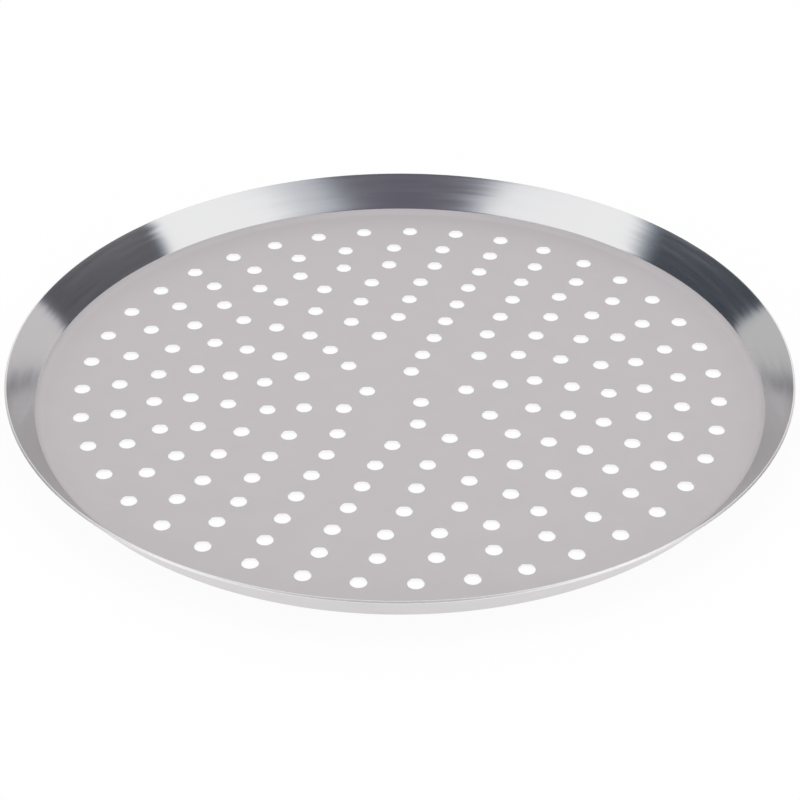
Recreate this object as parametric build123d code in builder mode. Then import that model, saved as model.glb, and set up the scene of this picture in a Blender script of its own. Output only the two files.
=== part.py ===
from build123d import *
from math import cos, radians, sin
import os

# Perforated pizza pan, formed from one punched disc of aluminium sheet.
# Millimetres and degrees. The pan's axis is Z and the underside of its floor lies on Z = 0.

# Sheet
sheet_thickness = 1.0

# Tray
rim_diameter = 305.0    # across the outer corners of the cut edge, before they are deburred
pan_height = 15.1       # from the underside to the highest corner of the cut edge
wall_flare = 39.0       # how far the wall leans out from upright
bend_radius = 5.0       # inside of the bend from floor to wall
edge_break = 0.2        # what deburring takes off both corners of the cut edge

# Perforations
hole_diameter = 6.1
hole_flats = 12         # so many holes stay light to mesh as flats round the punch's circle
punched_margin = 13.6   # from the outer ring of holes to where the floor starts to bend
start_line = 69.5       # every ring has one hole on this line, measured from +X
ring_counts = (3, 5, 11, 17, 21, 25, 31, 33, 39)
ring_radius_shares = (0.104, 0.209, 0.318, 0.429, 0.543, 0.657, 0.771, 0.885, 1.0)
punch_overrun = 1.0

# Worked out from the sizes above
wall_slope = 90 - wall_flare
outer_bend_radius = bend_radius + sheet_thickness
bend_rise = outer_bend_radius * (1 - cos(radians(wall_slope)))
bend_reach = outer_bend_radius * sin(radians(wall_slope))
edge_rise = sheet_thickness * cos(radians(wall_slope))
wall_length = (pan_height - edge_rise - bend_rise) / sin(radians(wall_slope))
wall_reach = wall_length * cos(radians(wall_slope))
floor_radius = rim_diameter / 2 - wall_reach - bend_reach
outer_ring_radius = floor_radius - punched_margin

with BuildPart() as pan:
    # The outside of the sheet, drawn from the axis to the rim, gets its thickness on the inside
    with BuildSketch(Plane.XZ) as section:
        with BuildLine():
            floor_line = Line((0, 0), (floor_radius, 0))
            bend = JernArc(floor_line @ 1, floor_line % 1, outer_bend_radius, wall_slope)
            PolarLine(bend @ 1, wall_length, wall_slope)
            offset(amount=sheet_thickness, side=Side.LEFT)
        make_face()
        rim_corners = section.vertices().sort_by(Axis.Y)[-2:]
        chamfer(rim_corners, edge_break)
    revolve(axis=Axis.Z)

    # Rings of punched holes
    with BuildSketch(Plane.XY.offset(-punch_overrun)):
        for count, radius_share in zip(ring_counts, ring_radius_shares):
            with PolarLocations(outer_ring_radius * radius_share, count, start_angle=start_line):
                RegularPolygon(hole_diameter / 2, hole_flats, major_radius=False)
    extrude(amount=sheet_thickness + 2 * punch_overrun, mode=Mode.SUBTRACT)

pan.part.label = "pan"

os.makedirs("parts", exist_ok=True)
export_step(pan.part, "parts/pan.step")

print(f"floor radius {floor_radius:.2f} mm, outer ring of holes at {outer_ring_radius:.2f} mm")
print(f"{sum(ring_counts)} holes, wall {wall_length:.2f} mm along its slope")
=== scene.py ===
import math
from collections import namedtuple

import bmesh
import bpy
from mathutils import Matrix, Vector


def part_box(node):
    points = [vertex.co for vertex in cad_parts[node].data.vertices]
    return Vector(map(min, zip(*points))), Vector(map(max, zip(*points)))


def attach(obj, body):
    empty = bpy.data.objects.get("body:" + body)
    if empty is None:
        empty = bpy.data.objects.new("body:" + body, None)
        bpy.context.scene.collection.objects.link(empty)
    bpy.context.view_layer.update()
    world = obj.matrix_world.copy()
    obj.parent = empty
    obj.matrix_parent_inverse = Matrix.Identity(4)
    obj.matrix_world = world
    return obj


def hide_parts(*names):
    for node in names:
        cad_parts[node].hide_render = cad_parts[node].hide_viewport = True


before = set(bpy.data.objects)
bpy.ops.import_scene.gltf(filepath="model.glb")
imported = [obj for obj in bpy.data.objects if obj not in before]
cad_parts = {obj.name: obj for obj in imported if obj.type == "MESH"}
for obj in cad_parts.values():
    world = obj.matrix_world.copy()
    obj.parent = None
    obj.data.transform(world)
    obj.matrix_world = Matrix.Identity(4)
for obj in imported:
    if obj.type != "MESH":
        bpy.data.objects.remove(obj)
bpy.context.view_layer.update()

# Perforated pizza pan of sheet aluminium. Metres, with angles given in degrees, in the frame of the
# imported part.
MM = 0.001

# Sizes of the pan
PAN_LOW, PAN_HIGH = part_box("pan")
BOX_CLEARANCE = 0.005 * MM          # how far the piece stays inside the solid's box
SHEET = 1.0 * MM
WALL_SLOPE = math.radians(51.5)     # from the table, taken from the wall's foot straight to the rim
WALL_CURL = math.radians(2.0)       # the wall's foot is steeper and its rim flatter by half of this
OUTER_BEND = 6.0 * MM               # outside radius of the bend from floor to wall
EDGE_ROUND = 0.18 * MM              # deburred corners of the rim and of the holes

# To the corners of the cut edge before they are rounded, which takes a little off their reach
CORNER_LOSS = EDGE_ROUND * (math.sin(WALL_SLOPE) + math.cos(WALL_SLOPE) - 1)
RIM_RADIUS = min(PAN_HIGH.x, PAN_HIGH.y, -PAN_LOW.x, -PAN_LOW.y) + CORNER_LOSS - BOX_CLEARANCE
PAN_HEIGHT = PAN_HIGH.z + CORNER_LOSS - BOX_CLEARANCE

# Perforations
HOLE_RADIUS = 3.05 * MM
OUTER_RING = 124.32 * MM
START_LINE = math.radians(69.5)     # every ring has one hole on this line
RING_COUNTS = (3, 5, 11, 17, 21, 25, 31, 33, 39)
RING_RADIUS_SHARES = (0.104, 0.209, 0.318, 0.429, 0.543, 0.657, 0.771, 0.885, 1.0)

# Mesh fineness
TURN_STEPS = 360
BEND_STEPS = 12
WALL_STEPS = 10
HOLE_STEPS = 32
EDGE_STEPS = 3
SHARP_CORNER = math.radians(60)     # from this turn on, a corner of the sheet gets rounded

# Worked out: the sheet's outside, from the flat floor to the rim
FOOT_SLOPE = WALL_SLOPE + WALL_CURL / 2
RIM_SLOPE = WALL_SLOPE - WALL_CURL / 2
EDGE_RISE = SHEET * math.cos(RIM_SLOPE)
BEND_RISE = OUTER_BEND * (1 - math.cos(FOOT_SLOPE))
BEND_REACH = OUTER_BEND * math.sin(FOOT_SLOPE)
WALL_RISE = PAN_HEIGHT - EDGE_RISE - BEND_RISE
WALL_REACH = WALL_RISE / math.tan(WALL_SLOPE)
FLOOR_RADIUS = RIM_RADIUS - WALL_REACH - BEND_REACH

# The lathe polished the inside of the wall, from nearly the end of the bend up to the rim
POLISHED_TURN = FOOT_SLOPE * (1 - 1 / BEND_STEPS)
FINISH_LINE = FLOOR_RADIUS + (OUTER_BEND - SHEET) * math.sin(POLISHED_TURN)


# Modelling helpers

def apply_modifier(piece, kind, **settings):
    modifier = piece.modifiers.new(kind.lower(), kind)
    for key, value in settings.items():
        setattr(modifier, key, value)
    bpy.ops.object.modifier_apply(modifier=modifier.name)


def select_edges(piece, wanted):
    """In edit mode, selects just the edges for which wanted(edge) is true."""
    bpy.ops.mesh.select_mode(type="EDGE")
    bpy.ops.mesh.select_all(action="DESELECT")
    mesh = bmesh.from_edit_mesh(piece.data)
    for edge in mesh.edges:
        edge.select_set(wanted(edge))
    bmesh.update_edit_mesh(piece.data)


def radius_of(point):
    return math.hypot(point.x, point.y)


# Materials

CLOUD = 12 * MM             # patches in which the etching bath worked a little less or more
GRAIN = 0.6 * MM            # etched grain, really about 0.1 mm, drawn as coarse as it needs to show
GRAIN_DEPTH = 0.02 * MM
# The lathe's scratches are really about 0.1 mm apart, and are drawn as wide as they need to show
STREAK_PITCH = 1.6 * MM
STREAK_LENGTH = 40 * MM
STREAK_LEAN = 0.007         # how far a strong streak faces aside, as a slope
STREAK_WEAK, STREAK_STRONG = 0.25, 0.75     # the noise where a streak leans that far either way
NOISE_LOW, NOISE_HIGH = 0.3, 0.7            # a noise lies mostly between these
GRAZING = "#ECECEC"         # how much of an ideal metal's reflection is left at a grazing angle


def linear(hex_colour):
    """sRGB hex to the linear colour that a shader socket takes."""
    parts = [int(hex_colour[i:i + 2], 16) / 255 for i in (1, 3, 5)]
    return [c / 12.92 if c <= 0.04045 else ((c + 0.055) / 1.055) ** 2.4 for c in parts] + [1]


def add_node(tree, kind, inputs=None, **settings):
    """Adds a shader node with its settings, and fills its inputs with values or links."""
    made = tree.nodes.new(kind)
    for key, value in settings.items():
        setattr(made, key, value)
    for key, value in (inputs or {}).items():
        socket = made.inputs[key]
        if isinstance(value, bpy.types.NodeSocket):
            tree.links.new(value, socket)
        else:
            socket.default_value = value
    return made


def new_material(name):
    material = bpy.data.materials.new(name)
    material.use_nodes = True
    material.node_tree.nodes.clear()
    return material, material.node_tree


def satin_aluminium(name, dark, light, smooth, rough):
    """Rolled aluminium sheet, etched in a caustic bath: an even, soft grey. Where the bath bit deep
    it hardly shines, and where it bit less the light draws out into a broad sheen."""
    material, tree = new_material(name)
    place = add_node(tree, "ShaderNodeTexCoord").outputs["Object"]
    grain = add_node(tree, "ShaderNodeTexNoise", {
        "Vector": place, "Scale": 1 / GRAIN, "Detail": 2.0}).outputs["Fac"]
    bump = add_node(tree, "ShaderNodeBump", {
        "Height": grain, "Strength": 0.15, "Distance": GRAIN_DEPTH}).outputs["Normal"]
    cloud = add_node(tree, "ShaderNodeTexNoise", {
        "Vector": place, "Scale": 1 / CLOUD, "Detail": 3.0}).outputs["Fac"]
    roughness = add_node(tree, "ShaderNodeMapRange", {
        "Value": cloud, "From Min": NOISE_LOW, "From Max": NOISE_HIGH,
        "To Min": smooth, "To Max": rough}).outputs["Result"]
    tone = add_node(tree, "ShaderNodeMix", {
        "Factor": cloud, "A": linear(dark), "B": linear(light)}, data_type="RGBA").outputs["Result"]
    shader = add_node(tree, "ShaderNodeBsdfPrincipled", {
        "Base Color": tone, "Metallic": 1.0, "Roughness": roughness, "Normal": bump})
    add_node(tree, "ShaderNodeOutputMaterial", {"Surface": shader.outputs["BSDF"]})
    return material


def brushed_aluminium(name, tone, smooth, rough):
    """Polished on the lathe: fine scratches round the pan draw its reflections out up and down the
    wall, and leave them sharper along it."""
    material, tree = new_material(name)
    place = add_node(tree, "ShaderNodeTexCoord").outputs["Object"]
    along = add_node(tree, "ShaderNodeVectorMath", {
        0: place, 1: (1 / STREAK_LENGTH, 1 / STREAK_LENGTH, 1 / STREAK_PITCH)},
        operation="MULTIPLY").outputs["Vector"]
    streaks = add_node(tree, "ShaderNodeTexNoise", {
        "Vector": along, "Scale": 1.0, "Detail": 2.0, "Roughness": 0.5}).outputs["Fac"]
    # Each streak faces a little to one side, so that the edges of the reflections are frayed
    tangent = add_node(
        tree, "ShaderNodeTangent", direction_type="RADIAL", axis="Z").outputs["Tangent"]
    lean = add_node(tree, "ShaderNodeMapRange", {
        "Value": streaks, "From Min": STREAK_WEAK, "From Max": STREAK_STRONG,
        "To Min": -STREAK_LEAN, "To Max": STREAK_LEAN}, clamp=False).outputs["Result"]
    aside = add_node(tree, "ShaderNodeVectorMath", {
        0: tangent, "Scale": lean}, operation="SCALE").outputs["Vector"]
    facing = add_node(tree, "ShaderNodeNewGeometry").outputs["Normal"]
    leaning = add_node(tree, "ShaderNodeVectorMath", {
        0: facing, 1: aside}, operation="ADD").outputs["Vector"]
    normal = add_node(tree, "ShaderNodeVectorMath", {
        0: leaning}, operation="NORMALIZE").outputs["Vector"]
    roughness = add_node(tree, "ShaderNodeMapRange", {
        "Value": streaks, "From Min": NOISE_LOW, "From Max": NOISE_HIGH,
        "To Min": smooth, "To Max": rough}).outputs["Result"]
    # A quarter turn lays the long way of the highlight across the scratches
    shader = add_node(tree, "ShaderNodeBsdfPrincipled", {
        "Base Color": linear(tone), "Metallic": 1.0, "Roughness": roughness,
        "Specular Tint": linear(GRAZING), "Anisotropic": 0.95, "Anisotropic Rotation": 0.25,
        "Tangent": tangent, "Normal": normal})
    add_node(tree, "ShaderNodeOutputMaterial", {"Surface": shader.outputs["BSDF"]})
    return material


def sheared_aluminium(name, tone, smooth, rough):
    """Cut across the sheet by a punch or shears: bright metal, finely torn."""
    material, tree = new_material(name)
    place = add_node(tree, "ShaderNodeTexCoord").outputs["Object"]
    tear = add_node(tree, "ShaderNodeTexNoise", {
        "Vector": place, "Scale": 1 / GRAIN, "Detail": 2.0}).outputs["Fac"]
    roughness = add_node(tree, "ShaderNodeMapRange", {
        "Value": tear, "From Min": NOISE_LOW, "From Max": NOISE_HIGH,
        "To Min": smooth, "To Max": rough}).outputs["Result"]
    shader = add_node(tree, "ShaderNodeBsdfPrincipled", {
        "Base Color": linear(tone), "Metallic": 1.0, "Roughness": roughness})
    add_node(tree, "ShaderNodeOutputMaterial", {"Surface": shader.outputs["BSDF"]})
    return material


# The pan

HOLE_SIDE = 0.9             # a face of the floor whose normal rises less than this is in a hole
CUT_EDGE = 0.12             # a face near the rim that looks this much up the wall is its cut edge


def punched_floor():
    """The floor's underside, filled between its edge and the edges of the open holes."""
    bpy.ops.object.select_all(action="DESELECT")
    bpy.ops.mesh.primitive_circle_add(
        vertices=TURN_STEPS, radius=FLOOR_RADIUS, fill_type="NOTHING")
    pan = bpy.context.active_object
    pan.name = "pan_sheet"
    bpy.ops.object.mode_set(mode="EDIT")
    for count, share in zip(RING_COUNTS, RING_RADIUS_SHARES):
        for k in range(count):
            angle = START_LINE + k * math.tau / count
            centre = Vector((math.cos(angle), math.sin(angle), 0)) * OUTER_RING * share
            bpy.ops.mesh.primitive_circle_add(
                vertices=HOLE_STEPS, radius=HOLE_RADIUS, fill_type="NOTHING", location=centre)
    bpy.ops.mesh.select_all(action="SELECT")
    bpy.ops.mesh.fill(use_beauty=True)
    return pan


def raise_wall(pan):
    """Draws the disc's edge outwards and up, round the bend and along the flared wall."""
    stations = []
    for k in range(1, BEND_STEPS + 1):
        turn = FOOT_SLOPE * k / BEND_STEPS
        stations.append((
            FLOOR_RADIUS + OUTER_BEND * math.sin(turn), OUTER_BEND * (1 - math.cos(turn))))
    # The wall is an arc of WALL_CURL whose chord has the slope WALL_SLOPE
    curl_radius = math.hypot(WALL_REACH, WALL_RISE) / (2 * math.sin(WALL_CURL / 2))
    for k in range(1, WALL_STEPS + 1):
        slope = FOOT_SLOPE - WALL_CURL * k / WALL_STEPS
        stations.append((
            FLOOR_RADIUS + BEND_REACH + curl_radius * (math.sin(FOOT_SLOPE) - math.sin(slope)),
            BEND_RISE + curl_radius * (math.cos(slope) - math.cos(FOOT_SLOPE))))
    halfway = (FLOOR_RADIUS + OUTER_RING + HOLE_RADIUS) / 2
    select_edges(
        pan, lambda edge: edge.is_boundary and radius_of(edge.verts[0].co) > halfway)
    radius, height = FLOOR_RADIUS, 0.0
    for next_radius, next_height in stations:
        bpy.ops.mesh.extrude_edges_move(
            TRANSFORM_OT_translate={"value": (0, 0, next_height - height)})
        growth = next_radius / radius
        bpy.ops.transform.resize(value=(growth, growth, 1), center_override=(0, 0, 0))
        radius, height = next_radius, next_height


def thicken(pan):
    """Gives the sheet its thickness on the inside, and rounds its cut edges."""
    bpy.ops.mesh.select_all(action="SELECT")
    bpy.ops.mesh.normals_make_consistent(inside=False)
    bpy.ops.object.mode_set(mode="OBJECT")
    facing_down = sum(face.normal.z * face.area for face in pan.data.polygons) < 0
    apply_modifier(pan, "SOLIDIFY", thickness=SHEET, offset=-1 if facing_down else 1,
                   use_even_offset=True, use_quality_normals=True)
    apply_modifier(pan, "BEVEL", width=EDGE_ROUND, segments=EDGE_STEPS, limit_method="ANGLE",
                   angle_limit=SHARP_CORNER, use_clamp_overlap=False)


def finish_surfaces(pan):
    """Gives every face the finish that its side of the sheet has."""
    finishes = (
        satin_aluminium(
            "satin_etched_aluminium", dark="#CFCBCC", light="#D2CECF", smooth=0.74, rough=0.78),
        satin_aluminium(
            "satin_etched_aluminium_outside",
            dark="#CDCACB", light="#D1CECF", smooth=0.30, rough=0.36),
        brushed_aluminium("lathe_brushed_aluminium", tone="#CFCFD0", smooth=0.1, rough=0.13),
        sheared_aluminium("sheared_aluminium_rim", tone="#E9E8E7", smooth=0.30, rough=0.40),
        sheared_aluminium("punched_aluminium_hole", tone="#F6F6F7", smooth=0.12, rough=0.2))
    floor, outside, wall, rim, hole = range(len(finishes))
    for material in finishes:
        pan.data.materials.append(material)
    for face in pan.data.polygons:
        radius, height = radius_of(face.center), face.center.z
        outwards = (face.normal.x * face.center.x + face.normal.y * face.center.y) / radius
        up = face.normal.z
        along_wall = outwards * math.cos(RIM_SLOPE) + up * math.sin(RIM_SLOPE)
        inside = up * math.cos(RIM_SLOPE) - outwards * math.sin(RIM_SLOPE)
        if radius < FLOOR_RADIUS:
            finish = hole if abs(up) < HOLE_SIDE else floor if up > 0 else outside
        elif height > PAN_HEIGHT / 2 and along_wall > CUT_EDGE:
            finish = rim
        elif inside < 0:
            finish = outside
        else:
            finish = wall if radius > FINISH_LINE else floor
        face.material_index = finish
    bpy.ops.object.shade_smooth()
    apply_modifier(pan, "WEIGHTED_NORMAL", mode="FACE_AREA", weight=100, keep_sharp=False)


def make_pan():
    pan = punched_floor()
    raise_wall(pan)
    thicken(pan)
    finish_surfaces(pan)
    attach(pan, "root")
    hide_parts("pan")


# The studio

TABLE_RADIUS = 3.0
TABLE_STEPS = 128
TABLE_DROP = 0.2 * MM       # the table lies this far under the pan, so that no faces coincide
# The table looks pure white to the camera and in metal, but for this share of its shaded white,
# which keeps the pan's shadow
SHADOW_SHARE = 0.08

CAMERA_ELEVATION = math.radians(33.25)
CAMERA_DISTANCE = 936.3 * MM        # from the middle of the floor's top
SENSOR_WIDTH = 36.0                 # in millimetres, as the camera takes it
FOCAL_PIXELS = 2390.3
IMAGE_PIXELS = 800
# Where the middle of the floor's top shows, from the image's top left corner
PAN_CENTRE_PIXEL = (399.86, 388.10)


def add_table():
    bpy.ops.object.select_all(action="DESELECT")
    bpy.ops.mesh.primitive_circle_add(
        vertices=TABLE_STEPS, radius=TABLE_RADIUS, fill_type="NGON", location=(0, 0, -TABLE_DROP))
    table = bpy.context.active_object
    table.name = "studio_table"
    bpy.ops.object.transform_apply(location=True, rotation=True, scale=True)
    material, tree = new_material("white_studio_table")
    rays = add_node(tree, "ShaderNodeLightPath").outputs
    seen = rays["Is Camera Ray"]
    for mirrored in ("Is Glossy Ray", "Is Transmission Ray"):
        seen = add_node(tree, "ShaderNodeMath", {
            0: seen, 1: rays[mirrored]}, operation="MAXIMUM").outputs["Value"]
    share = add_node(tree, "ShaderNodeMath", {
        0: seen, 1: 1 - SHADOW_SHARE}, operation="MULTIPLY").outputs["Value"]
    shaded = add_node(tree, "ShaderNodeBsdfDiffuse", {"Color": linear("#FFFFFF")})
    white = add_node(tree, "ShaderNodeEmission", {"Color": linear("#FFFFFF"), "Strength": 1.0})
    mix = add_node(tree, "ShaderNodeMixShader", {
        "Fac": share, 1: shaded.outputs["BSDF"], 2: white.outputs["Emission"]})
    add_node(tree, "ShaderNodeOutputMaterial", {"Surface": mix.outputs["Shader"]})
    table.data.materials.append(material)


# What hangs in the white tent and shows in the brushed wall, in degrees. A compass direction is 0
# behind the pan, 90 to its right and 180 at the camera. A side edge crosses the elevation at the
# compass direction, leans over by so much for each degree up, and is soft by so much either side.
Side = namedtuple("Side", "compass elevation lean softness")
# A patch hangs between two side edges, and between two elevations that hold in its middle. These
# climb by so much for each degree round, and are soft by so much either side.
Patch = namedtuple("Patch", "name left right climb low high softness colour")
# Each patch is laid over those before it
PATCHES = (
    Patch("all round", Side(-200, 0, 0, 3), Side(200, 0, 0, 3), 0, -100, 62, 6, "#E3E3E3"),
    Patch("behind", Side(-75, 30, 0, 12), Side(75, 30, 0, 12), 0, 18, 60, 8, "#D6D6D6"),
    Patch("low behind, left", Side(-66, 12, 0, 3), Side(0, 12, 0, 6), 0, -10, 24, 3, "#AEAEAE"),
    Patch("low behind, right", Side(0, 12, 0, 6), Side(66, 12, 0, 3), 0, -10, 24, 3, "#BAB7B8"),
    Patch("ceiling in front", Side(116, 50, 0, 8), Side(256, 50, 0, 8),
          0, 51.5, 67, 4.5, "#909096"),
    Patch("dim towards the camera", Side(135, 47, -1.6, 11), Side(200, 47, 0, 14),
          0, 10, 80, 4, "#B8B9BE"),
    Patch("left fringe", Side(-96.1, 34, 0, 4), Side(-52.4, 14.6, 1.5, 3),
          -0.48, 6, 31.6, 4, "#757D88"),
    Patch("left", Side(-91.7, 34, 0, 3), Side(-53.3, 14.6, 1.5, 2.2),
          -0.48, 6, 31.6, 4, "#30353E"),
    Patch("right fringe", Side(53.6, 15, -1, 3), Side(96, 34.4, -0.9, 3),
          0.47, 6, 32.2, 4, "#7C828B"),
    Patch("right", Side(54.6, 15, -1, 2.2), Side(93.2, 34.4, -0.9, 2),
          0.47, 6, 32.2, 4, "#4B4B50"),
    Patch("camera fringe", Side(153.5, 47, -2.0, 7), Side(213, 46.7, 2.4, 7),
          0, 10, 63, 3, "#8A909B"),
    Patch("camera", Side(159.5, 47, -2.0, 4), Side(206.5, 46.7, 2.4, 4),
          0, 10, 64, 3, "#57555F"),
)
TENT_TOP = "#DFDFDF"                # the tent overhead, where no patch hangs
TENT_STRENGTH = 1.70                # makes up for the greys: colours render about as written
RISING, FALLING = (0.0, 1.0), (1.0, 0.0)


def add_tent():
    """A white light tent with the bright, dim and dark places that the brushed wall mirrors. The
    camera sees plain white in its place."""
    world = bpy.data.worlds.new("light_tent")
    bpy.context.scene.world = world
    world.use_nodes = True
    tree = world.node_tree
    tree.nodes.clear()
    direction = add_node(tree, "ShaderNodeTexCoord").outputs["Generated"]
    upwards = add_node(tree, "ShaderNodeSeparateXYZ", {"Vector": direction}).outputs["Z"]
    elevation = add_node(tree, "ShaderNodeMath", {0: upwards}, operation="ARCSINE").outputs["Value"]
    colour = linear(TENT_TOP)
    for patch in PATCHES:
        # The angle round the tent, counted from the middle of the patch
        middle = math.radians((patch.left.compass + patch.right.compass) / 2)
        ahead = add_node(tree, "ShaderNodeVectorMath", {
            0: direction, 1: (math.sin(middle), math.cos(middle), 0)},
            operation="DOT_PRODUCT").outputs["Value"]
        aside = add_node(tree, "ShaderNodeVectorMath", {
            0: direction, 1: (math.cos(middle), -math.sin(middle), 0)},
            operation="DOT_PRODUCT").outputs["Value"]
        angle = add_node(tree, "ShaderNodeMath", {
            0: aside, 1: ahead}, operation="ARCTAN2").outputs["Value"]
        # How high a direction is against the patch's climbing edges
        height = add_node(tree, "ShaderNodeMath", {
            0: angle, 1: -patch.climb, 2: elevation}, operation="MULTIPLY_ADD").outputs["Value"]
        edges = [
            (height, patch.low, patch.softness, RISING),
            (height, patch.high, patch.softness, FALLING)]
        for side, change in ((patch.left, RISING), (patch.right, FALLING)):
            leant = add_node(tree, "ShaderNodeMath", {
                0: elevation, 1: -side.lean, 2: angle}, operation="MULTIPLY_ADD").outputs["Value"]
            crossing = side.compass - math.degrees(middle) - side.lean * side.elevation
            edges.append((leant, crossing, side.softness, change))
        mask = 1.0
        for value, place, softness, (before, after) in edges:
            edge = add_node(tree, "ShaderNodeMapRange", {
                "Value": value, "From Min": math.radians(place - softness),
                "From Max": math.radians(place + softness), "To Min": before, "To Max": after},
                interpolation_type="SMOOTHSTEP").outputs["Result"]
            mask = add_node(tree, "ShaderNodeMath", {
                0: mask, 1: edge}, operation="MULTIPLY").outputs["Value"]
        colour = add_node(tree, "ShaderNodeMix", {
            "Factor": mask, "A": colour, "B": linear(patch.colour)},
            data_type="RGBA", label=patch.name).outputs["Result"]
    tent = add_node(tree, "ShaderNodeBackground", {"Color": colour, "Strength": TENT_STRENGTH})
    white = add_node(tree, "ShaderNodeBackground", {"Color": linear("#FFFFFF"), "Strength": 1.0})
    camera_ray = add_node(tree, "ShaderNodeLightPath").outputs["Is Camera Ray"]
    mix = add_node(tree, "ShaderNodeMixShader", {
        "Fac": camera_ray, 1: tent.outputs["Background"], 2: white.outputs["Background"]})
    add_node(tree, "ShaderNodeOutputWorld", {"Surface": mix.outputs["Shader"]})


def add_camera():
    data = bpy.data.cameras.new("camera")
    camera = bpy.data.objects.new("camera", data)
    bpy.context.scene.collection.objects.link(camera)
    data.sensor_width = SENSOR_WIDTH
    data.lens = data.sensor_width * FOCAL_PIXELS / IMAGE_PIXELS
    data.shift_x = (IMAGE_PIXELS / 2 - PAN_CENTRE_PIXEL[0]) / IMAGE_PIXELS
    data.shift_y = (PAN_CENTRE_PIXEL[1] - IMAGE_PIXELS / 2) / IMAGE_PIXELS
    back = Vector((0, -math.cos(CAMERA_ELEVATION), math.sin(CAMERA_ELEVATION)))
    camera.location = Vector((0, 0, SHEET)) + back * CAMERA_DISTANCE
    camera.rotation_euler = (math.pi / 2 - CAMERA_ELEVATION, 0, 0)
    bpy.context.scene.camera = camera


make_pan()
add_table()
add_tent()
add_camera()
bpy.context.scene.view_settings.view_transform = "Standard"
